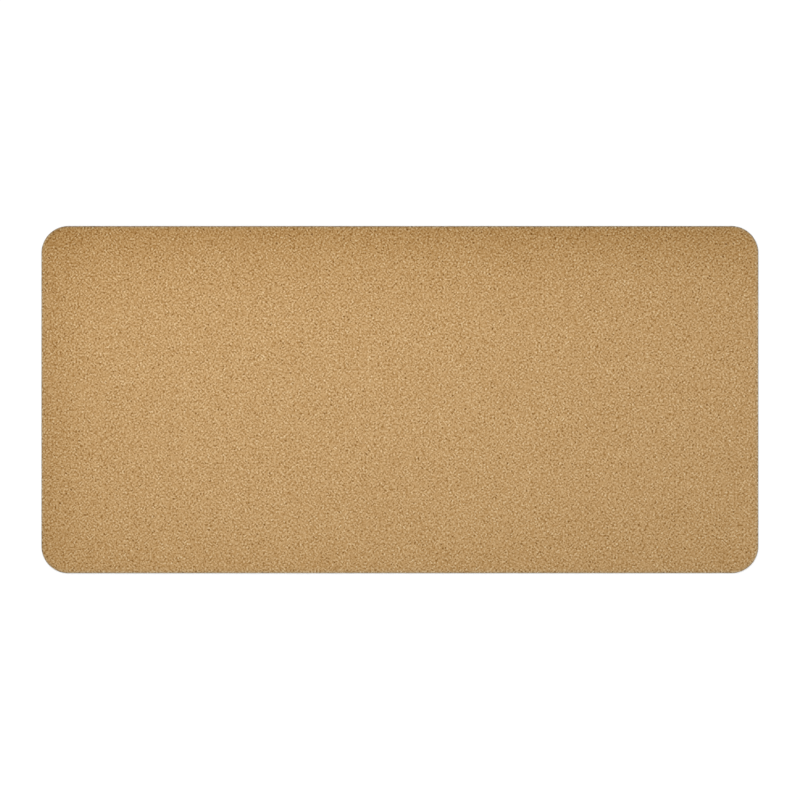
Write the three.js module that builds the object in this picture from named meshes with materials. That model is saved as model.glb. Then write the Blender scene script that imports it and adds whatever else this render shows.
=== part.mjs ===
// Desk-size mouse pad with a face of fine pressed cork.
// The pad is a glued stack of thin sheets, cut to one outline with rounded corners. From the desk up
// they are foamed rubber, a glue film, a woven backing cloth, a second glue film and the cork.
// Millimetres, +Z up. X runs along the pad, and Y runs away from the person who works at it.
// The origin lies on the desk, under the middle of the pad.
import * as THREE from "three";
import { toCreasedNormals } from "three/addons/utils/BufferGeometryUtils.js";

// Outline of the rubber base, which is the largest sheet. The width is 15 1/4 inches.
const padLength = 800;
const padWidth = 387.35;
const cornerRadius = 30;

// Thickness of each sheet, from the desk up
const rubberThickness = 1.8;
const baseGlueThickness = 0.1;
const clothThickness = 0.2;
const faceGlueThickness = 0.1;
const corkThickness = 0.8;

// Once cut, the rubber springs out a little past the stiffer sheets on top of it, and the cloth
// and glue stay just inside the cork. Each value is a sheet's distance from the rubber's outline.
const corkSetBack = 0.3;
const clothSetBack = 0.4;
const glueSetBack = 0.5;

// The die leaves the rubber's lower edge and the cork's upper edge slightly rounded
const rubberEdgeRadius = 0.6;
const corkEdgeRadius = 0.3;

// Straight steps in a quarter turn, in the plan's corners and in the rounded edges
const cornerSteps = 24;
const edgeSteps = 4;

const quarterTurn = Math.PI / 2;
const creaseAngle = quarterTurn / 2;

// The faces between the sheets. Sheets that are glued together share the same level.
const rubberTop = rubberThickness;
const clothBottom = rubberTop + baseGlueThickness;
const clothTop = clothBottom + clothThickness;
const corkBottom = clothTop + faceGlueThickness;
const corkTop = corkBottom + corkThickness;

// One closed line round the pad at a given level, set back from the rubber's outline.
// All such lines share their corners' centres, so their points stand square to each other.
function outlineAt({ setBack, level }) {
  const centreX = padLength / 2 - cornerRadius;
  const centreY = padWidth / 2 - cornerRadius;
  const radius = cornerRadius - setBack;
  const cornerSides = [
    [1, 1],
    [-1, 1],
    [-1, -1],
    [1, -1],
  ];
  return cornerSides.flatMap(([sideX, sideY], corner) =>
    Array.from({ length: cornerSteps + 1 }, (_, step) => {
      const turn = quarterTurn * (corner + step / cornerSteps);
      return new THREE.Vector3(
        sideX * centreX + radius * Math.cos(turn),
        sideY * centreY + radius * Math.sin(turn),
        level,
      );
    }),
  );
}

// Edge of a sheet cut square, as set-backs and levels from its underside to its upper face
function squareEdge(setBack, bottom, top) {
  return [
    { setBack, level: bottom },
    { setBack, level: top },
  ];
}

// Edge whose lower corner is a quarter circle
function edgeRoundedBelow(setBack, bottom, top, radius) {
  const arc = Array.from({ length: edgeSteps + 1 }, (_, step) => {
    const turn = (quarterTurn * step) / edgeSteps;
    return {
      setBack: setBack + radius * (1 - Math.sin(turn)),
      level: bottom + radius * (1 - Math.cos(turn)),
    };
  });
  return [...arc, { setBack, level: top }];
}

// Edge whose upper corner is a quarter circle
function edgeRoundedAbove(setBack, bottom, top, radius) {
  const arc = Array.from({ length: edgeSteps + 1 }, (_, step) => {
    const turn = (quarterTurn * step) / edgeSteps;
    return {
      setBack: setBack + radius * (1 - Math.cos(turn)),
      level: top - radius * (1 - Math.sin(turn)),
    };
  });
  return [{ setBack, level: bottom }, ...arc];
}

// A cut sheet: its edge carried round the outline, closed by a flat face below and above
function cutSheet(name, edge, finish) {
  const outlines = edge.map(outlineAt);
  const around = outlines[0].length;
  const faces = [];
  for (let row = 0; row + 1 < outlines.length; row++) {
    const low = row * around;
    const high = low + around;
    for (let point = 0; point < around; point++) {
      const next = (point + 1) % around;
      faces.push(low + point, low + next, high + next);
      faces.push(low + point, high + next, high + point);
    }
  }

  const flatFace = THREE.ShapeUtils.triangulateShape(outlines[0], []);
  const topRow = (outlines.length - 1) * around;
  for (const [a, b, c] of flatFace) {
    faces.push(a, c, b);
    faces.push(topRow + a, topRow + b, topRow + c);
  }

  const geometry = new THREE.BufferGeometry().setFromPoints(outlines.flat());
  geometry.setIndex(faces);
  const sheet = new THREE.Mesh(
    toCreasedNormals(geometry, creaseAngle),
    new THREE.MeshStandardMaterial(finish),
  );
  sheet.name = name;
  return sheet;
}

const mousePad = new THREE.Group();
mousePad.name = "mouse_pad";

mousePad.add(
  cutSheet(
    "rubber_base",
    edgeRoundedBelow(0, 0, rubberTop, rubberEdgeRadius),
    { color: 0x2e2a26, roughness: 0.9, metalness: 0 },
  ),
);

mousePad.add(
  cutSheet(
    "base_glue_film",
    squareEdge(glueSetBack, rubberTop, clothBottom),
    { color: 0xb08d57, roughness: 0.45, metalness: 0 },
  ),
);

mousePad.add(
  cutSheet(
    "backing_cloth",
    squareEdge(clothSetBack, clothBottom, clothTop),
    { color: 0x8f8371, roughness: 0.95, metalness: 0 },
  ),
);

mousePad.add(
  cutSheet(
    "face_glue_film",
    squareEdge(glueSetBack, clothTop, corkBottom),
    { color: 0xb08d57, roughness: 0.45, metalness: 0 },
  ),
);

mousePad.add(
  cutSheet(
    "cork_face",
    edgeRoundedAbove(corkSetBack, corkBottom, corkTop, corkEdgeRadius),
    { color: 0xc09b6b, roughness: 0.85, metalness: 0 },
  ),
);

export default mousePad;
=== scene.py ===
import math
import bpy
import numpy as np
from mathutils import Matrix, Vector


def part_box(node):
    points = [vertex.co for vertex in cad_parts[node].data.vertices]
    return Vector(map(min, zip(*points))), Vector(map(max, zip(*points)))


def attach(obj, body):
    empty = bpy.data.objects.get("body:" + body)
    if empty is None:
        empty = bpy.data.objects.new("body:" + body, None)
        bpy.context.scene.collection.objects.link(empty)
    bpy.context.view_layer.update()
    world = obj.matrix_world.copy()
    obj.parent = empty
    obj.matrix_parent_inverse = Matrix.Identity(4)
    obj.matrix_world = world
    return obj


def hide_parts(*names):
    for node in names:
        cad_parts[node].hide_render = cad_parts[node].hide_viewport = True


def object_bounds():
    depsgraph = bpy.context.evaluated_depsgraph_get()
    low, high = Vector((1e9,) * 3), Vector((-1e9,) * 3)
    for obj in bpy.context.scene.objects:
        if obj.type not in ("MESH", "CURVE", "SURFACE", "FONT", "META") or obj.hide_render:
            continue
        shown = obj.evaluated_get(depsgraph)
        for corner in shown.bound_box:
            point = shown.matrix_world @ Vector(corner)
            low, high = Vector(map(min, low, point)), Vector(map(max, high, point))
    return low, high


# Looks of a desk-size mouse pad: a face of pressed cork on cloth, glued to a base of foamed rubber.
# Metres. X runs along the pad, Y away from the person who works at it, Z up from the desk.

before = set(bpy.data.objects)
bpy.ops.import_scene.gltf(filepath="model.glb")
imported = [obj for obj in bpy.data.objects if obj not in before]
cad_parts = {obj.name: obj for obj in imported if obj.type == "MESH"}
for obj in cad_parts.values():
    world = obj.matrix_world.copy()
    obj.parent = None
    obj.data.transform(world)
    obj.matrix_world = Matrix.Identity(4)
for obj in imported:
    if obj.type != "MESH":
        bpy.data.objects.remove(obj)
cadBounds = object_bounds()
print("frame loaded with", ", ".join(sorted(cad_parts)))

scene = bpy.context.scene
scene.view_settings.view_transform = "Standard"

padLow, padHigh = cadBounds
padMiddle = (padLow + padHigh) / 2
padCorner = {"radius": 0.030}  # the corner of the widest sheet, seen from above


# Camera and room

picture = {
    "side": 800,  # pixels
    "padEdges": (41.48, 758.26, 226.07, 573.21),  # left, right, top and bottom, in pixels
    "lens": 100,  # a long lens straight overhead, because the photograph shows no perspective
    "sensor": 36,
}


# Overhead, where the picture just takes in its width: width * lens / sensor above the pad. Moved
# along and away until the pad's edges fall where they do in the photograph.
def placeCamera(values):
    left, right, top, bottom = values["padEdges"]
    metresPerPixel = (padHigh.x - padLow.x) / (right - left)
    frameWidth = values["side"] * metresPerPixel
    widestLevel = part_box("rubber_base")[1].z
    aimRight = (values["side"] / 2 - (left + right) / 2) * metresPerPixel
    aimDown = (values["side"] / 2 - (top + bottom) / 2) * metresPerPixel
    camera = bpy.data.objects.new("overheadCamera", bpy.data.cameras.new("overheadCamera"))
    camera.data.lens = values["lens"]
    camera.data.sensor_width = values["sensor"]
    camera.location = (
        padMiddle.x + aimRight,
        padMiddle.y - aimDown,
        widestLevel + frameWidth * values["lens"] / values["sensor"],
    )
    scene.collection.objects.link(camera)
    scene.camera = camera


room = {
    "floorSide": 30,
    "floorDrop": 0.00005,  # the floor lies this far under the rubber, so that they don't flicker
    "floorWhite": 0.82,
    "whiteShown": 1.10,  # level of the lit floor and of the room in the picture, just past white
    "ambient": 0.25,  # share of the light on the pad that comes from all round
    "sunShare": 0.35,
    "sunAngle": 35,  # degrees across, for soft shadows
    "sunTilt": (14, -10, 0),  # degrees
    "lampShare": 0.40,
    "lampSide": 0.8,
    "lampPlace": (-0.25, 0.50, 1.30),
}


# Links the inputs that are sockets and sets those that are plain values
def addNode(tree, kind, inputs=None, **settings):
    node = tree.nodes.new("ShaderNode" + kind)
    for name, value in settings.items():
        setattr(node, name, value)
    for name, value in (inputs or {}).items():
        if isinstance(value, bpy.types.NodeSocket):
            tree.links.new(value, node.inputs[name])
        else:
            node.inputs[name].default_value = value
    return node


# One step of arithmetic on numbers that change over the surface
def calc(tree, operation, *values):
    return addNode(tree, "Math", dict(enumerate(values)), operation=operation).outputs[0]


def scaleVector(tree, vector, factor):
    return addNode(tree, "VectorMath", {0: vector, "Scale": factor}, operation="SCALE").outputs[0]


# A value that runs from 0 to 1, less a half, so that it runs about 0
def centred(tree, socket):
    return calc(tree, "SUBTRACT", socket, 0.5)


# The same for a colour or vector
def middled(tree, vector):
    return addNode(tree, "VectorMath", {0: vector, 1: (0.5, 0.5, 0.5)}, operation="SUBTRACT").outputs[0]


def newMaterial(name):
    material = bpy.data.materials.new(name)
    material.use_nodes = True
    material.node_tree.nodes.clear()
    return material, material.node_tree


# 1 for rays that see the room itself, straight, mirrored or through glass, and 0 for light on the pad
def seenDirectly(tree):
    path = addNode(tree, "LightPath")
    either = calc(tree, "MAXIMUM", path.outputs["Is Camera Ray"], path.outputs["Is Glossy Ray"])
    return calc(tree, "MAXIMUM", either, path.outputs["Is Transmission Ray"])


# What the floor glows with for rays that see it: the level shown less the light that it sends back.
# The lamp gives its share in the pad's middle, and elsewhere that share falls with the fourth power
# of the distance from the lamp.
def floorGlow(tree, values):
    place = addNode(tree, "TexCoord").outputs["Object"]
    apart = addNode(tree, "VectorMath", {0: place, 1: values["lampPlace"]}, operation="SUBTRACT").outputs[0]
    squared = addNode(tree, "VectorMath", {0: apart, 1: apart}, operation="DOT_PRODUCT").outputs["Value"]
    share = calc(tree, "DIVIDE", math.hypot(*values["lampPlace"]) ** 2, squared)
    lamp = calc(tree, "MULTIPLY", calc(tree, "MULTIPLY", share, share), values["lampShare"])
    light = calc(tree, "ADD", lamp, values["ambient"] + values["sunShare"])
    sentBack = calc(tree, "MULTIPLY", light, values["floorWhite"])
    missing = calc(tree, "SUBTRACT", values["whiteShown"], sentBack)
    return calc(tree, "MULTIPLY", seenDirectly(tree), missing)


def layFloor(values):
    reach = values["floorSide"] / 2
    level = padLow.z - values["floorDrop"]
    mesh = bpy.data.meshes.new("paleFloor")
    corners = [(-reach, -reach), (reach, -reach), (reach, reach), (-reach, reach)]
    mesh.from_pydata([(x, y, level) for x, y in corners], [], [(0, 1, 2, 3)])
    floor = bpy.data.objects.new("paleFloor", mesh)
    scene.collection.objects.link(floor)

    material, tree = newMaterial("paleFloor")
    white = values["floorWhite"]
    matt = addNode(tree, "BsdfDiffuse", {"Color": (white, white, white, 1)})
    light = addNode(tree, "Emission", {"Strength": floorGlow(tree, values)})
    both = addNode(tree, "AddShader", {0: matt.outputs[0], 1: light.outputs[0]})
    addNode(tree, "OutputMaterial", {"Surface": both.outputs[0]})
    mesh.materials.append(material)


# Each light alone shows its share on white: the sun gives energy / pi on a face square to it, and the
# lamp, which hangs level, energy * height ** 2 / (pi ** 2 * distance ** 4) in the pad's middle.
def lightRoom(values):
    world = bpy.data.worlds.new("whiteRoom")
    world.use_nodes = True
    tree = world.node_tree
    tree.nodes.clear()
    seen = calc(tree, "MULTIPLY", seenDirectly(tree), values["whiteShown"])
    strength = calc(tree, "MAXIMUM", seen, values["ambient"])
    background = addNode(tree, "Background", {"Color": (1, 1, 1, 1), "Strength": strength})
    addNode(tree, "OutputWorld", {"Surface": background.outputs[0]})
    scene.world = world

    sun = bpy.data.objects.new("softSun", bpy.data.lights.new("softSun", "SUN"))
    sun.rotation_euler = [math.radians(turn) for turn in values["sunTilt"]]
    sun.data.angle = math.radians(values["sunAngle"])
    sun.data.energy = math.pi * values["sunShare"]
    scene.collection.objects.link(sun)

    lamp = bpy.data.objects.new("softBox", bpy.data.lights.new("softBox", "AREA"))
    lamp.location = values["lampPlace"]
    lamp.data.size = values["lampSide"]
    across, back, height = values["lampPlace"]
    distance = math.hypot(across, back, height)
    lamp.data.energy = math.pi ** 2 * values["lampShare"] * distance ** 4 / height ** 2
    lamp.visible_camera = False
    scene.collection.objects.link(lamp)


placeCamera(picture)
layFloor(room)
lightRoom(room)
print("camera, floor and lights placed")


# Sheets

# Rows and columns over a sheet. In each corner square p and q run from 0 to 1, and the square is
# drawn in to a quarter disc: p becomes p * sqrt(1 - q * q / 2), and q becomes q * sqrt(1 - p * p / 2).
def roundedGrid(halfLength, halfWidth, radius, spacing):
    columns = 2 * round(halfLength / spacing) + 1
    rows = 2 * round(halfWidth / spacing) + 1
    x, y = np.meshgrid(
        np.linspace(-halfLength, halfLength, columns), np.linspace(-halfWidth, halfWidth, rows)
    )
    p = np.clip((np.abs(x) - halfLength + radius) / radius, 0, 1)
    q = np.clip((np.abs(y) - halfWidth + radius) / radius, 0, 1)
    x = np.sign(x) * (np.minimum(np.abs(x), halfLength - radius) + radius * p * np.sqrt(1 - q * q / 2))
    y = np.sign(y) * (np.minimum(np.abs(y), halfWidth - radius) + radius * q * np.sqrt(1 - p * p / 2))
    return x, y


# Triangles over the rows and columns, with diagonals that turn about at every point
def gridFaces(index):
    a, b, c, d = index[:-1, :-1], index[:-1, 1:], index[1:, 1:], index[1:, :-1]
    rows, columns = np.indices(a.shape)
    even = ((rows + columns) % 2 == 0)[..., None]
    first = np.where(even, np.stack([a, b, c], -1), np.stack([a, b, d], -1))
    second = np.where(even, np.stack([a, c, d], -1), np.stack([b, c, d], -1))
    return np.concatenate([first.reshape(-1, 3), second.reshape(-1, 3)])


cutSteps = {
    "neighbourShare": 0.5,  # what a point takes over from the point on either side
    "uprightShare": 0.7,  # of the unevenness, which runs straight up the cut
    "furthest": 2,  # a point stands in or out by this many times the sheet's cutWander at most
}


# Random steps round the cut edge, each plus a share n of both its neighbours, over 1 + n. A share u of
# them runs upright: u times the mean of the column of rings times the square root of their number,
# plus 1 - u times the step itself.
def unevenCut(random, rings, around, size):
    neighbours, upright = cutSteps["neighbourShare"], cutSteps["uprightShare"]
    steps = random.normal(size=(rings, around))
    beside = np.roll(steps, 1, 1) + np.roll(steps, -1, 1)
    steps = (steps + neighbours * beside) / (1 + neighbours)
    column = steps.mean(0) * math.sqrt(rings)
    uneven = upright * column + (1 - upright) * steps
    return size * np.clip(uneven, -cutSteps["furthest"], cutSteps["furthest"])


# A sheet's levels, and the flat part of its face, from its CAD node's box
def measureSheet(values):
    low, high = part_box(values["node"])
    faceLevel, backLevel = (high.z, low.z) if values["faceUp"] else (low.z, high.z)
    setBack = high.x - padHigh.x
    return {
        "faceLevel": faceLevel,
        "backLevel": backLevel,
        "inward": math.copysign(1, backLevel - faceLevel),
        "halfLength": high.x - values["edgeRadius"],
        "halfWidth": high.y - values["edgeRadius"],
        "cornerRadius": padCorner["radius"] + setBack - values["edgeRadius"],
    }


# The face: rows and columns whose inner points wander by chance, and less towards the corners.
# relief gives how far each point lies inside the box.
def sheetFace(sizes, random, values, relief):
    halfLength, halfWidth, cornerRadius = sizes["halfLength"], sizes["halfWidth"], sizes["cornerRadius"]
    x, y = roundedGrid(halfLength, halfWidth, cornerRadius, values["spacing"])
    inside = np.zeros(x.shape)
    inside[1:-1, 1:-1] = 1
    wander = values["pointWander"] * values["spacing"]
    nearCorner = np.minimum(1, (halfLength + halfWidth - np.abs(x) - np.abs(y)) / cornerRadius)
    x = x + inside * nearCorner * random.uniform(-wander, wander, x.shape)
    y = y + inside * nearCorner * random.uniform(-wander, wander, y.shape)
    depth = relief(x, y, inside, random, values)
    return np.stack([x, y, sizes["faceLevel"] + sizes["inward"] * depth], -1)


# The edge: rings carried round the face's outline, square to it. They follow a quarter circle,
# radius * sin(t) outward and radius * (1 - cos(t)) in from the face's level, and then the cut wall.
def sheetEdge(sizes, random, values, outline):
    radius = values["edgeRadius"]
    reach = np.array([sizes["halfLength"], sizes["halfWidth"]]) - sizes["cornerRadius"]
    core = np.clip(outline, -reach, reach)
    outward = (outline - core) / np.linalg.norm(outline - core, axis=1, keepdims=True)
    turn = np.linspace(0, math.pi / 2, values["edgeSteps"] + 1)[1:]
    out = np.append(radius * np.sin(turn), [radius, radius])
    along = sizes["faceLevel"] + sizes["inward"] * radius * (1 - np.cos(turn))
    level = np.append(along, [(along[-1] + sizes["backLevel"]) / 2, sizes["backLevel"]])
    cut = unevenCut(random, len(out), len(outline), values["cutWander"])
    bite = random.uniform(0, values["biteDepth"], len(outline))
    bite = bite * (random.random(len(outline)) < values["biteShare"])
    step = out[:, None] + (cut - bite) * (out / radius)[:, None]
    rings = np.empty((len(out), len(outline), 3))
    rings[..., :2] = outline + outward * step[..., None]
    rings[..., 2] = level[:, None]
    return rings, outward


# A closed sheet: its face, the rings of its edge, and a plain back
def makeSheet(name, values, relief):
    sizes = measureSheet(values)
    random = np.random.default_rng(values["seed"])
    face = sheetFace(sizes, random, values, relief)
    index = np.arange(face[..., 0].size).reshape(face.shape[:2])
    loop = np.concatenate([index[0, :-1], index[:-1, -1], index[-1, :0:-1], index[:0:-1, 0]])
    face = face.reshape(-1, 3)
    outline = face[loop, :2]
    rings, outward = sheetEdge(sizes, random, values, outline)

    points = np.concatenate([face, rings.reshape(-1, 3)])
    added = len(face) + np.arange(rings[..., 0].size).reshape(rings.shape[:2])
    ringIndex = np.concatenate([loop[None], added])
    following = np.roll(ringIndex, -1, 1)
    walls = np.stack([ringIndex[1:], following[1:], following[:-1], ringIndex[:-1]], -1).reshape(-1, 4)
    grid = gridFaces(index)
    faces = grid.tolist() + walls.tolist() + [ringIndex[-1, ::-1].tolist()]
    if not values["faceUp"]:
        faces = [corners[::-1] for corners in faces]

    mesh = bpy.data.meshes.new(name)
    mesh.from_pydata(points.tolist(), [], faces)
    mesh.shade_smooth()
    mesh.set_sharp_from_angle(angle=math.radians(values["sharpAngle"]))
    if values["facets"]:
        mesh.polygons.foreach_set("use_smooth", np.arange(len(faces)) >= len(grid))
    spreadMap(mesh, points, len(face), outline, outward, len(rings))
    piece = bpy.data.objects.new(name, mesh)
    scene.collection.objects.link(piece)
    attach(piece, "root")
    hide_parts(values["node"])
    mesh.calc_loop_triangles()
    print(f"{name}: {len(mesh.loop_triangles)} triangles")
    return piece


flatMap = {
    "name": "OFBake",
    "ringWidth": 0.0016,  # each ring of the edge is drawn this wide, so that it holds a pixel or two
    "margin": 0.002,
    "backShare": 0.03,  # the hidden back is squeezed into a strip of this share of the map's height
    "backFill": 0.8,  # and fills this share of the strip
}


# The face lies flat in the map, its edge runs round it as a frame, and the back has a strip above.
# The frame's ring k lies k ring widths outside the face's outline.
def spreadMap(mesh, points, faceCount, outline, outward, ringCount):
    values = flatMap
    place = points[:, :2].copy()
    widths = values["ringWidth"] * np.arange(1, ringCount + 1)
    place[faceCount:] = (outline + outward * widths[:, None, None]).reshape(-1, 2)
    reach = np.abs(place).max(0) + values["margin"]
    place = (place / reach + 1) / 2
    strip, fill = values["backShare"], values["backFill"]
    backPlace = place * (1, fill * strip) + (0, 1 - strip * (1 + fill) / 2)
    place[:, 1] *= 1 - strip
    corner = np.empty(len(mesh.loops), np.int64)
    mesh.loops.foreach_get("vertex_index", corner)
    across = place[corner]
    backCorners = len(outline)
    across[-backCorners:] = backPlace[corner[-backCorners:]]
    layer = mesh.uv_layers.new(name=values["name"])
    layer.data.foreach_set("uv", across.astype(np.float32).ravel())


corkFace = {
    "node": "cork_face",
    "slot": "pressed_cork",
    "faceUp": True,
    "facets": False,
    "seed": 11,
    "spacing": 0.002,
    "pointWander": 0.3,  # share of the spacing
    "edgeRadius": 0.0003,
    "edgeSteps": 4,
    "sharpAngle": 60,
    "cutWander": 0.00006,  # granules stand in and out along the cut by about this much
    "biteDepth": 0.0005,  # where a granule has fallen out of the edge
    "biteShare": 0.04,
    "grainDepth": 0.00002,
    "pitDepth": 0.00012,
    "pitShare": 0.10,  # of the points
    "shallowPit": 0.3,  # share of the depth that the shallowest pit has
}


# Pressed granules: each point lies a little lower by chance, and some are open pits. How deep each
# point's pit is, from 0 to 1, is kept for the material, which draws the pits darker as painted shade.
def corkRelief(x, y, inside, random, values):
    grain = values["grainDepth"] * random.random(x.shape)
    pits = random.random(x.shape) < values["pitShare"]
    values["pits"] = inside * pits * random.uniform(values["shallowPit"], 1, x.shape)
    return inside * grain + values["pitDepth"] * values["pits"]


def markPits(piece, values):
    mask = np.zeros(len(piece.data.vertices), np.float32)
    mask[: values["pits"].size] = values["pits"].ravel()
    attribute = piece.data.attributes.new("openPit", "FLOAT", "POINT")
    attribute.data.foreach_set("value", mask)


rubberBase = {
    "node": "rubber_base",
    "slot": "foamed_rubber",
    "faceUp": False,
    "facets": True,  # the grip pattern has flat sides
    "seed": 23,
    "spacing": 0.002,
    "pointWander": 0,
    "edgeRadius": 0.0006,
    "edgeSteps": 4,
    "sharpAngle": 60,
    "cutWander": 0.00003,
    "biteDepth": 0.0001,
    "biteShare": 0.02,
    "dimpleDepth": 0.0005,
    "plainRim": 0.010,  # the grip pattern keeps this far from the outline, and fades in over as much again
}


# Gripping underside: straight ridges two spacings apart, with a hollow pyramid between them. A hollow's
# depth is dimpleDepth * (distance from the outline / plainRim - 1), with the bracket kept from 0 to 1.
def gripRelief(x, y, inside, random, values):
    rows, columns = np.indices(x.shape)
    hollow = (rows % 2 == 1) & (columns % 2 == 1)
    fromOutline = np.minimum(x.max() - np.abs(x), y.max() - np.abs(y))
    return values["dimpleDepth"] * hollow * np.clip(fromOutline / values["plainRim"] - 1, 0, 1)


backingCloth = {
    "node": "backing_cloth",
    "slot": "woven_cloth",
    "faceUp": True,
    "facets": False,
    "seed": 37,
    "spacing": 0.003,
    "pointWander": 0.2,
    "edgeRadius": 0.00004,
    "edgeSteps": 2,
    "sharpAngle": 60,
    "cutWander": 0.00008,  # thread ends fray this much
    "biteDepth": 0.0004,
    "biteShare": 0.10,
    "crimpDepth": 0.00002,
}


# Threads press into the glue by a little more or less
def clothRelief(x, y, inside, random, values):
    return inside * values["crimpDepth"] * random.random(x.shape)


corkPiece = makeSheet("corkFace", corkFace, corkRelief)
markPits(corkPiece, corkFace)
rubberPiece = makeSheet("rubberBase", rubberBase, gripRelief)
clothPiece = makeSheet("backingCloth", backingCloth, clothRelief)


# Shared effects

# An input or output whose value is None is a vector
def newGroup(name, inputs, outputs):
    tree = bpy.data.node_groups.new(name, "ShaderNodeTree")
    for side, sockets in (("INPUT", inputs), ("OUTPUT", outputs)):
        for label, value in sockets.items():
            kind = "NodeSocketVector" if value is None else "NodeSocketFloat"
            socket = tree.interface.new_socket(name=label, in_out=side, socket_type=kind)
            if value is not None:
                socket.default_value = value
    return tree, tree.nodes.new("NodeGroupInput").outputs


def closeGroup(tree, results):
    ends = tree.nodes.new("NodeGroupOutput")
    for label, socket in results.items():
        tree.links.new(socket, ends.inputs[label])
    return tree


def useGroup(tree, group, inputs):
    return addNode(tree, "Group", inputs, node_tree=group).outputs


bends = {"Scale": 1.3, "Detail": 1}  # of the granules' borders, to each granule


# Cells of one size about scattered points, with borders bent by noise
def addCells(tree, vector, size, bend):
    scaled = scaleVector(tree, vector, calc(tree, "DIVIDE", 1, size))
    noise = addNode(tree, "TexNoise", {"Vector": scaled, **bends})
    shift = scaleVector(tree, middled(tree, noise.outputs["Color"]), bend)
    bent = addNode(tree, "VectorMath", {0: scaled, 1: shift}, operation="ADD").outputs[0]
    cells = addNode(tree, "TexVoronoi", {"Vector": bent, "Scale": 1}, feature="F1")
    borders = addNode(tree, "TexVoronoi", {"Vector": bent, "Scale": 1}, feature="DISTANCE_TO_EDGE")
    chance = addNode(tree, "SeparateColor", {"Color": cells.outputs["Color"]}).outputs
    return {
        "first": chance["Red"],
        "second": chance["Green"],
        "centre": scaleVector(tree, cells.outputs["Position"], size),
        "border": calc(tree, "MULTIPLY", borders.outputs["Distance"], size),
    }


# Flat noise of one size, read at a vector that is moved by a step
def flatNoise(tree, vector, size, step=(0, 0, 0)):
    moved = addNode(tree, "VectorMath", {0: vector, 1: step}, operation="ADD").outputs[0]
    scaled = scaleVector(tree, moved, calc(tree, "DIVIDE", 1, size))
    noise = addNode(tree, "TexNoise", {"Vector": scaled, "Scale": 1, "Detail": 0}, noise_dimensions="2D")
    return centred(tree, noise.outputs["Fac"])


granuleStep = 0.0020  # granules are set off against what lies this far from them on four sides


# Pressed granules: large cells, of which a share is crushed into small ones. Each granule has one
# Own Tone by chance. Its Cluster Tone is flat noise n of the Cluster Size read at its centre, less the
# mean of n a step away on four sides times the Contrast, so that dark and pale granules take turns.
# Seam is 1 on a granule's border.
def granuleGroup():
    inputs = {
        "Vector": None,
        "Large Size": 0.0015,
        "Small Size": 0.0009,
        "Crushed Share": 0.5,
        "Bend": 0.5,
        "Cluster Size": 0.002,
        "Contrast": 0.5,
        "Seam Width": 0.0001,
    }
    outputs = {"Own Tone": 0, "Second Tone": 0, "Cluster Tone": 0, "Seam": 0, "Centre": None}
    tree, given = newGroup("pressedGranules", inputs, outputs)
    large = addCells(tree, given["Vector"], given["Large Size"], given["Bend"])
    small = addCells(tree, given["Vector"], given["Small Size"], given["Bend"])
    crushed = calc(tree, "LESS_THAN", large["second"], given["Crushed Share"])
    own = addNode(tree, "Mix", {0: crushed, 2: large["first"], 3: small["first"]}).outputs[0]
    second = addNode(tree, "Mix", {0: crushed, 2: large["second"], 3: small["second"]}).outputs[0]
    centres = {0: crushed, 4: large["centre"], 5: small["centre"]}
    centre = addNode(tree, "Mix", centres, data_type="VECTOR").outputs[1]
    around = 0
    sides = ((1, 0), (-1, 0), (0, 1), (0, -1))
    for across, along in sides:
        step = (across * granuleStep, along * granuleStep, 0)
        beside = flatNoise(tree, centre, given["Cluster Size"], step)
        around = calc(tree, "MULTIPLY_ADD", beside, 1 / len(sides), around)
    here = flatNoise(tree, centre, given["Cluster Size"])
    cluster = calc(tree, "SUBTRACT", here, calc(tree, "MULTIPLY", around, given["Contrast"]))
    farAway = 1.0  # metres, for a granule that isn't crushed and has no small border
    smallBorder = addNode(tree, "Mix", {0: crushed, 2: farAway, 3: small["border"]}).outputs[0]
    border = calc(tree, "MINIMUM", large["border"], smallBorder)
    seam = addNode(
        tree,
        "MapRange",
        {"Value": border, "From Min": given["Seam Width"], "From Max": 0},
        interpolation_type="SMOOTHSTEP",
    )
    return closeGroup(
        tree,
        {
            "Own Tone": own,
            "Second Tone": second,
            "Cluster Tone": cluster,
            "Seam": seam.outputs["Result"],
            "Centre": centre,
        },
    )


# Scattered flecks, seen from above: one spot in each square of the spacing, in a chance share of the
# squares, each half to one and a half times the Radius. Read at the centres of granules, a fleck is
# made of whole granules.
def fleckGroup():
    inputs = {"Vector": None, "Spacing": 0.005, "Radius": 0.001, "Share": 0.5}
    tree, given = newGroup("scatteredFlecks", inputs, {"Mask": 0})
    scaled = scaleVector(tree, given["Vector"], calc(tree, "DIVIDE", 1, given["Spacing"]))
    flat = {"feature": "F1", "voronoi_dimensions": "2D"}
    spots = addNode(tree, "TexVoronoi", {"Vector": scaled, "Scale": 1}, **flat)
    chance = addNode(tree, "SeparateColor", {"Color": spots.outputs["Color"]}).outputs
    distance = calc(tree, "MULTIPLY", spots.outputs["Distance"], given["Spacing"])
    smallest = 0.5  # in Radii
    size = calc(tree, "MULTIPLY", given["Radius"], calc(tree, "ADD", chance["Green"], smallest))
    near = calc(tree, "LESS_THAN", distance, size)
    there = calc(tree, "LESS_THAN", chance["Red"], given["Share"])
    return closeGroup(tree, {"Mask": calc(tree, "MULTIPLY", near, there)})
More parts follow.
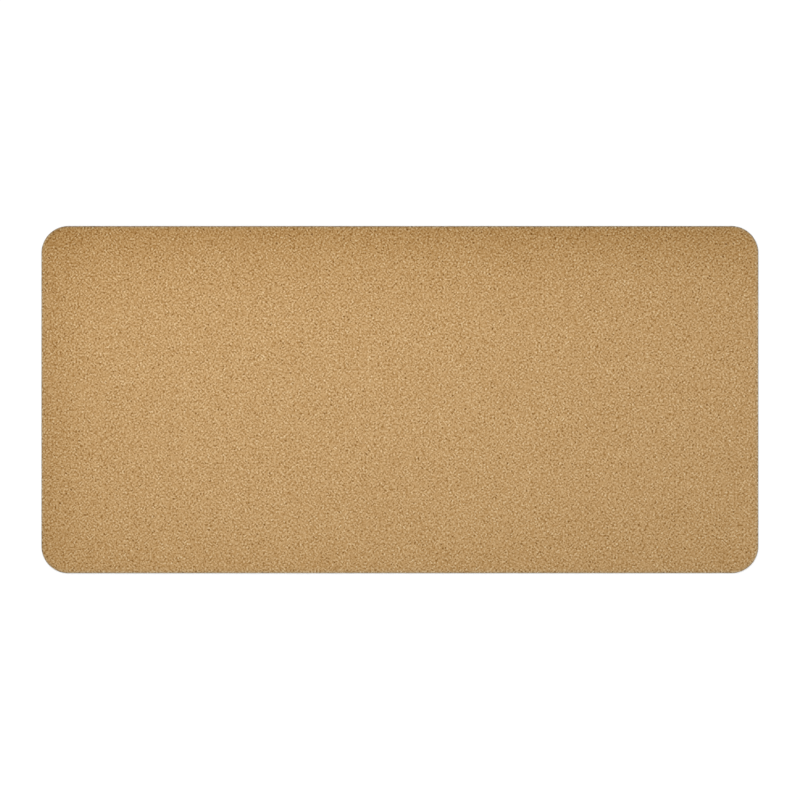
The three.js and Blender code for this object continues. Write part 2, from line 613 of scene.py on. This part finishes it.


# Painted shade that gathers along three edges: each side's strength times e to the power of minus the
# distance from that edge over Reach
def paintedEdgeShadeGroup():
    sides = {"Left": ("X", 1), "Far": ("Y", -1), "Near": ("Y", 1)}
    inputs = {"Vector": None, "Half Length": 0.4, "Half Width": 0.194, "Reach": 0.04}
    tree, given = newGroup("paintedEdgeShade", {**inputs, **{side: 0 for side in sides}}, {"Tone": 0})
    place = addNode(tree, "SeparateXYZ", {"Vector": given["Vector"]})
    total = 0
    for side, (axis, sign) in sides.items():
        half = given["Half Length" if axis == "X" else "Half Width"]
        distance = calc(tree, "MULTIPLY_ADD", place.outputs[axis], sign, half)
        reaches = calc(tree, "DIVIDE", calc(tree, "MULTIPLY", distance, -1), given["Reach"])
        total = calc(tree, "MULTIPLY_ADD", calc(tree, "EXPONENT", reaches), given[side], total)
    return closeGroup(tree, {"Tone": total})


# Rim along the rounded outline. With q = max(|p| - half sides + corner radius, 0), a point p lies
# corner radius - |q| inside the outline, and Rim is e to the power of minus that over Reach.
def rimGroup():
    inputs = {"Vector": None, "Half Sides": None, "Corner Radius": 0.03, "Reach": 0.001}
    tree, given = newGroup("rim", inputs, {"Rim": 0})
    apart = addNode(tree, "VectorMath", {0: given["Vector"]}, operation="ABSOLUTE").outputs[0]
    half, radius = given["Half Sides"], given["Corner Radius"]
    corner = addNode(tree, "CombineXYZ", {"X": radius, "Y": radius}).outputs[0]
    straight = addNode(tree, "VectorMath", {0: half, 1: corner}, operation="SUBTRACT").outputs[0]
    past = addNode(tree, "VectorMath", {0: apart, 1: straight}, operation="SUBTRACT").outputs[0]
    flat = addNode(tree, "VectorMath", {0: past, 1: (1, 1, 0)}, operation="MULTIPLY").outputs[0]
    inCorner = addNode(tree, "VectorMath", {0: flat, 1: (0, 0, 0)}, operation="MAXIMUM").outputs[0]
    length = addNode(tree, "VectorMath", {0: inCorner}, operation="LENGTH").outputs["Value"]
    reaches = calc(tree, "DIVIDE", calc(tree, "SUBTRACT", length, radius), given["Reach"])
    return closeGroup(tree, {"Rim": calc(tree, "EXPONENT", reaches)})


# Plain weave of threads along X and Y: each thread bulges as |sin(pi * x / pitch)|, and the two
# take turns on top where the product of the sines changes sign. Height is the top one's bulge times
# 1 - Crown + Crown * both bulges, which raises the middle of each crossing.
def weaveGroup():
    inputs = {"Vector": None, "Pitch": 0.001, "Crown": 0.4}
    tree, given = newGroup("plainWeave", inputs, {"Height": 0, "Thread": 0})
    place = addNode(tree, "SeparateXYZ", {"Vector": given["Vector"]})
    waves = []
    for axis in "XY":
        turns = calc(tree, "DIVIDE", calc(tree, "MULTIPLY", place.outputs[axis], math.pi), given["Pitch"])
        waves.append(calc(tree, "SINE", turns))
    lengthwise, crosswise = (calc(tree, "ABSOLUTE", wave) for wave in waves)
    over = calc(tree, "GREATER_THAN", calc(tree, "MULTIPLY", *waves), 0)
    top = addNode(tree, "Mix", {0: over, 2: lengthwise, 3: crosswise}).outputs[0]
    crossing = calc(tree, "MULTIPLY", lengthwise, crosswise)
    crown = calc(tree, "MULTIPLY_ADD", crossing, given["Crown"], calc(tree, "SUBTRACT", 1, given["Crown"]))
    return closeGroup(tree, {"Height": calc(tree, "MULTIPLY", top, crown), "Thread": over})


granules = granuleGroup()
flecks = fleckGroup()
paintedEdgeShade = paintedEdgeShadeGroup()
rim = rimGroup()
weave = weaveGroup()
print("shared effects made")


# Finishes

screen = {"gamma": 2.2, "darkest": 0.01}


# A colour as a screen shows it, turned to light: the colour plus its shifts, to the power of gamma.
# Each shift is a value that changes over the surface times its share in red, green and blue.
def screenColour(tree, colour, shifts):
    shown = colour
    for value, share in shifts:
        added = addNode(tree, "VectorMath", {0: value, 1: share, 2: shown}, operation="MULTIPLY_ADD")
        shown = added.outputs[0]
    darkest = (screen["darkest"],) * 3
    kept = addNode(tree, "VectorMath", {0: shown, 1: darkest}, operation="MAXIMUM").outputs[0]
    return addNode(tree, "Gamma", {"Color": kept, "Gamma": screen["gamma"]}).outputs[0]


# Adds up values times their strengths
def weigh(tree, parts):
    total = 0
    for socket, strength in parts:
        total = calc(tree, "MULTIPLY_ADD", socket, strength, total)
    return total


# Noise of one size, from 0 to 1
def addNoise(tree, vector, size, detail):
    return addNode(tree, "TexNoise", {"Vector": vector, "Scale": 1 / size, "Detail": detail}).outputs["Fac"]


# 1 on the pad's outline, fading inwards
def addRim(tree, place, reach):
    sizes = {"Half Sides": (padHigh.x, padHigh.y, 0), "Corner Radius": padCorner["radius"]}
    return useGroup(tree, rim, {"Vector": place, **sizes, "Reach": reach})["Rim"]


# The surface of a finish. Its roughness runs up by the span as rough goes from 0 to 1, and height is
# in shares of the bump's depth.
def closeMaterial(tree, values, shifts, rough, height):
    bump = addNode(tree, "Bump", {"Height": height, "Distance": values["bumpDepth"], "Strength": 1})
    inputs = {
        "Base Color": screenColour(tree, values["colour"], shifts),
        "Roughness": calc(tree, "MULTIPLY_ADD", rough, values["roughnessSpan"], values["roughness"]),
        "Normal": bump.outputs[0],
    }
    surface = addNode(tree, "BsdfPrincipled", {**inputs, **values["shine"]})
    addNode(tree, "OutputMaterial", {"Surface": surface.outputs[0]})


corkFinish = {
    "colour": (0.798, 0.646, 0.448),  # as shown on a screen
    "toneBalance": (0.86, 1.04, 1.15),  # dark and pale granules differ a little less in red
    "toneCurve": (-0.6, 0, 0.2),  # times the square of the tone: the darkest and palest have less red
    "largeSize": 0.0012,
    "smallSize": 0.0008,
    "crushedShare": 0.5,
    "clusterSize": 0.0018,
    "contrast": 0.5,
    "clusterTone": 0.38,  # tones are in the same units as the colour
    "ownTone": 0.08,
    "warmth": (0.012, 0.0024, -0.012),  # of some granules against others, in red, green and blue
    "seamWidth": 0.00010,
    "seamTone": -0.07,
    "barkSpacing": 0.0050,
    "barkRadius": 0.0007,
    "barkShare": 0.8,
    "barkTone": -0.14,
    "fibreSize": 0.00025,
    "fibreDetail": 2,
    "fibreTone": 0.06,
    # painted shade in the open pits
    "pitShade": -0.04,
    "cloudSize": 0.05,
    "cloudDetail": 3,
    "cloudTone": 0.03,
    # painted shade: the face is drawn darker towards its far, left and near edges
    "shadeReach": 0.040,
    "shadeFar": 0.105,
    "shadeLeft": 0.058,
    "shadeNear": 0.029,
    "shadeShift": (-1, -1, -1),  # painted shade: darker along these edges, alike in all three colours
    "rimReach": 0.0014,
    "rimShift": (-0.07, 0.015, 0.10),  # the rim is greyer, from the dust of the rubber
    "cutTone": -0.12,  # the cut wall is darker than the face
    "seamHeight": -0.5,
    "granuleHeight": 0.1,
    "barkHeight": -0.2,
    "fibreHeight": 0.3,
    "bumpDepth": 0.00008,
    "roughness": 0.76,
    "roughnessSpan": 0.14,
    "shine": {"Specular IOR Level": 0.25},
}


def corkMaterial(values):
    material, tree = newMaterial("pressedCork")
    place = addNode(tree, "TexCoord").outputs["Object"]
    grain = useGroup(
        tree,
        granules,
        {
            "Vector": place,
            "Large Size": values["largeSize"],
            "Small Size": values["smallSize"],
            "Crushed Share": values["crushedShare"],
            "Cluster Size": values["clusterSize"],
            "Contrast": values["contrast"],
            "Seam Width": values["seamWidth"],
        },
    )
    bark = useGroup(
        tree,
        flecks,
        {
            "Vector": grain["Centre"],
            "Spacing": values["barkSpacing"],
            "Radius": values["barkRadius"],
            "Share": values["barkShare"],
        },
    )
    # Painted shade along the far, left and near edges of the cork's face
    border = useGroup(
        tree,
        paintedEdgeShade,
        {
            "Vector": place,
            "Half Length": padHigh.x,
            "Half Width": padHigh.y,
            "Reach": values["shadeReach"],
            "Far": values["shadeFar"],
            "Near": values["shadeNear"],
            "Left": values["shadeLeft"],
        },
    )
    clouds = addNoise(tree, place, values["cloudSize"], values["cloudDetail"])
    fibres = addNoise(tree, place, values["fibreSize"], values["fibreDetail"])
    # Painted shade: the open pits are drawn darker
    pit = addNode(tree, "Attribute", attribute_name="openPit").outputs["Fac"]
    facing = addNode(tree, "SeparateXYZ", {"Vector": addNode(tree, "NewGeometry").outputs["Normal"]})
    cutWall = calc(tree, "SUBTRACT", 1, calc(tree, "ABSOLUTE", facing.outputs["Z"]))
    tone = weigh(
        tree,
        [
            (grain["Cluster Tone"], values["clusterTone"]),
            (centred(tree, grain["Own Tone"]), values["ownTone"]),
            (centred(tree, fibres), values["fibreTone"]),
            (centred(tree, clouds), values["cloudTone"]),
            (bark["Mask"], values["barkTone"]),
            (grain["Seam"], values["seamTone"]),
            (pit, values["pitShade"]),
            (cutWall, values["cutTone"]),
        ],
    )
    shifts = [
        (tone, values["toneBalance"]),
        (calc(tree, "MULTIPLY", tone, tone), values["toneCurve"]),
        (border["Tone"], values["shadeShift"]),
        (centred(tree, grain["Second Tone"]), values["warmth"]),
        (addRim(tree, place, values["rimReach"]), values["rimShift"]),
    ]
    height = weigh(
        tree,
        [
            (grain["Seam"], values["seamHeight"]),
            (grain["Second Tone"], values["granuleHeight"]),
            (bark["Mask"], values["barkHeight"]),
            (fibres, values["fibreHeight"]),
        ],
    )
    closeMaterial(tree, values, shifts, grain["Own Tone"], height)
    return material


rubberFinish = {
    "colour": (0.185, 0.170, 0.155),
    "poreSize": 0.0005,
    "poreReach": 0.5,  # from the middle of the widest pore to its rim, in pore sizes
    # painted shade in the open pores
    "poreShade": -0.06,
    "skinDetail": 2,
    "bloomSize": 0.03,
    "bloomDetail": 4,
    "bloomTone": 0.05,
    "fillerSpacing": 0.004,
    "fillerRadius": 0.0002,
    "fillerShare": 0.5,
    "fillerTone": 0.08,
    "scuffTone": 0.03,
    "scuffReach": 0.004,
    "poreHeight": -0.8,
    "skinHeight": 0.4,
    "bumpDepth": 0.00008,
    "roughness": 0.65,
    "roughnessSpan": 0.2,
    "shine": {"Specular IOR Level": 0.4},
}


def rubberMaterial(values):
    material, tree = newMaterial("foamedRubber")
    place = addNode(tree, "TexCoord").outputs["Object"]
    pores = addNode(tree, "TexVoronoi", {"Vector": place, "Scale": 1 / values["poreSize"]}, feature="F1")
    chance = addNode(tree, "SeparateColor", {"Color": pores.outputs["Color"]}).outputs["Red"]
    reach = calc(tree, "MULTIPLY", chance, values["poreReach"])
    # Painted shade: the open pores are drawn darker
    openPore = addNode(
        tree,
        "MapRange",
        {"Value": pores.outputs["Distance"], "From Min": reach, "From Max": 0},
        interpolation_type="SMOOTHSTEP",
    ).outputs["Result"]
    filler = useGroup(
        tree,
        flecks,
        {
            "Vector": place,
            "Spacing": values["fillerSpacing"],
            "Radius": values["fillerRadius"],
            "Share": values["fillerShare"],
        },
    )
    bloom = addNoise(tree, place, values["bloomSize"], values["bloomDetail"])
    skin = addNoise(tree, place, values["poreSize"], values["skinDetail"])
    tone = weigh(
        tree,
        [
            (openPore, values["poreShade"]),
            (centred(tree, bloom), values["bloomTone"]),
            (filler["Mask"], values["fillerTone"]),
            (addRim(tree, place, values["scuffReach"]), values["scuffTone"]),
        ],
    )
    height = weigh(tree, [(openPore, values["poreHeight"]), (skin, values["skinHeight"])])
    closeMaterial(tree, values, [(tone, (1, 1, 1))], bloom, height)
    return material


clothFinish = {
    "colour": (0.56, 0.51, 0.44),
    "pitch": 0.0008,
    "crown": 0.4,
    "threadTone": 0.05,
    "slubPitches": 3,  # a thicker stretch of thread is about this many pitches long
    "slubDetail": 2,
    "slubTone": 0.08,
    "bumpDepth": 0.00008,
    "roughness": 0.85,
    "roughnessSpan": 0.1,
    "shine": {"Sheen Weight": 0.3},
}


def clothMaterial(values):
    material, tree = newMaterial("wovenCloth")
    place = addNode(tree, "TexCoord").outputs["Object"]
    threads = useGroup(tree, weave, {"Vector": place, "Pitch": values["pitch"], "Crown": values["crown"]})
    slubs = addNoise(tree, place, values["slubPitches"] * values["pitch"], values["slubDetail"])
    tone = weigh(
        tree,
        [
            (centred(tree, threads["Thread"]), values["threadTone"]),
            (centred(tree, slubs), values["slubTone"]),
        ],
    )
    closeMaterial(tree, values, [(tone, (1, 1, 1))], slubs, threads["Height"])
    return material


glueFinish = {
    "colour": (0.69, 0.55, 0.34),
    "streakSize": 0.006,
    "streakScale": (0.3, 1, 1),  # the glue is spread along the pad, so its streaks are drawn out
    "streakDetail": 4,
    "streakTone": 0.10,
    "bumpDepth": 0.00003,
    "roughness": 0.3,
    "roughnessSpan": 0.2,
    "shine": {},
}


def glueMaterial(values):
    material, tree = newMaterial("driedGlue")
    place = addNode(tree, "TexCoord").outputs["Object"]
    along = addNode(tree, "Mapping", {"Vector": place, "Scale": values["streakScale"]}).outputs[0]
    streaks = addNoise(tree, along, values["streakSize"], values["streakDetail"])
    tone = weigh(tree, [(centred(tree, streaks), values["streakTone"])])
    closeMaterial(tree, values, [(tone, (1, 1, 1))], streaks, streaks)
    return material


corkPiece.data.materials.append(corkMaterial(corkFinish))
rubberPiece.data.materials.append(rubberMaterial(rubberFinish))
clothPiece.data.materials.append(clothMaterial(clothFinish))
glue = glueMaterial(glueFinish)
for node in ("base_glue_film", "face_glue_film"):
    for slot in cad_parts[node].material_slots:
        slot.material = glue
print("finishes set")
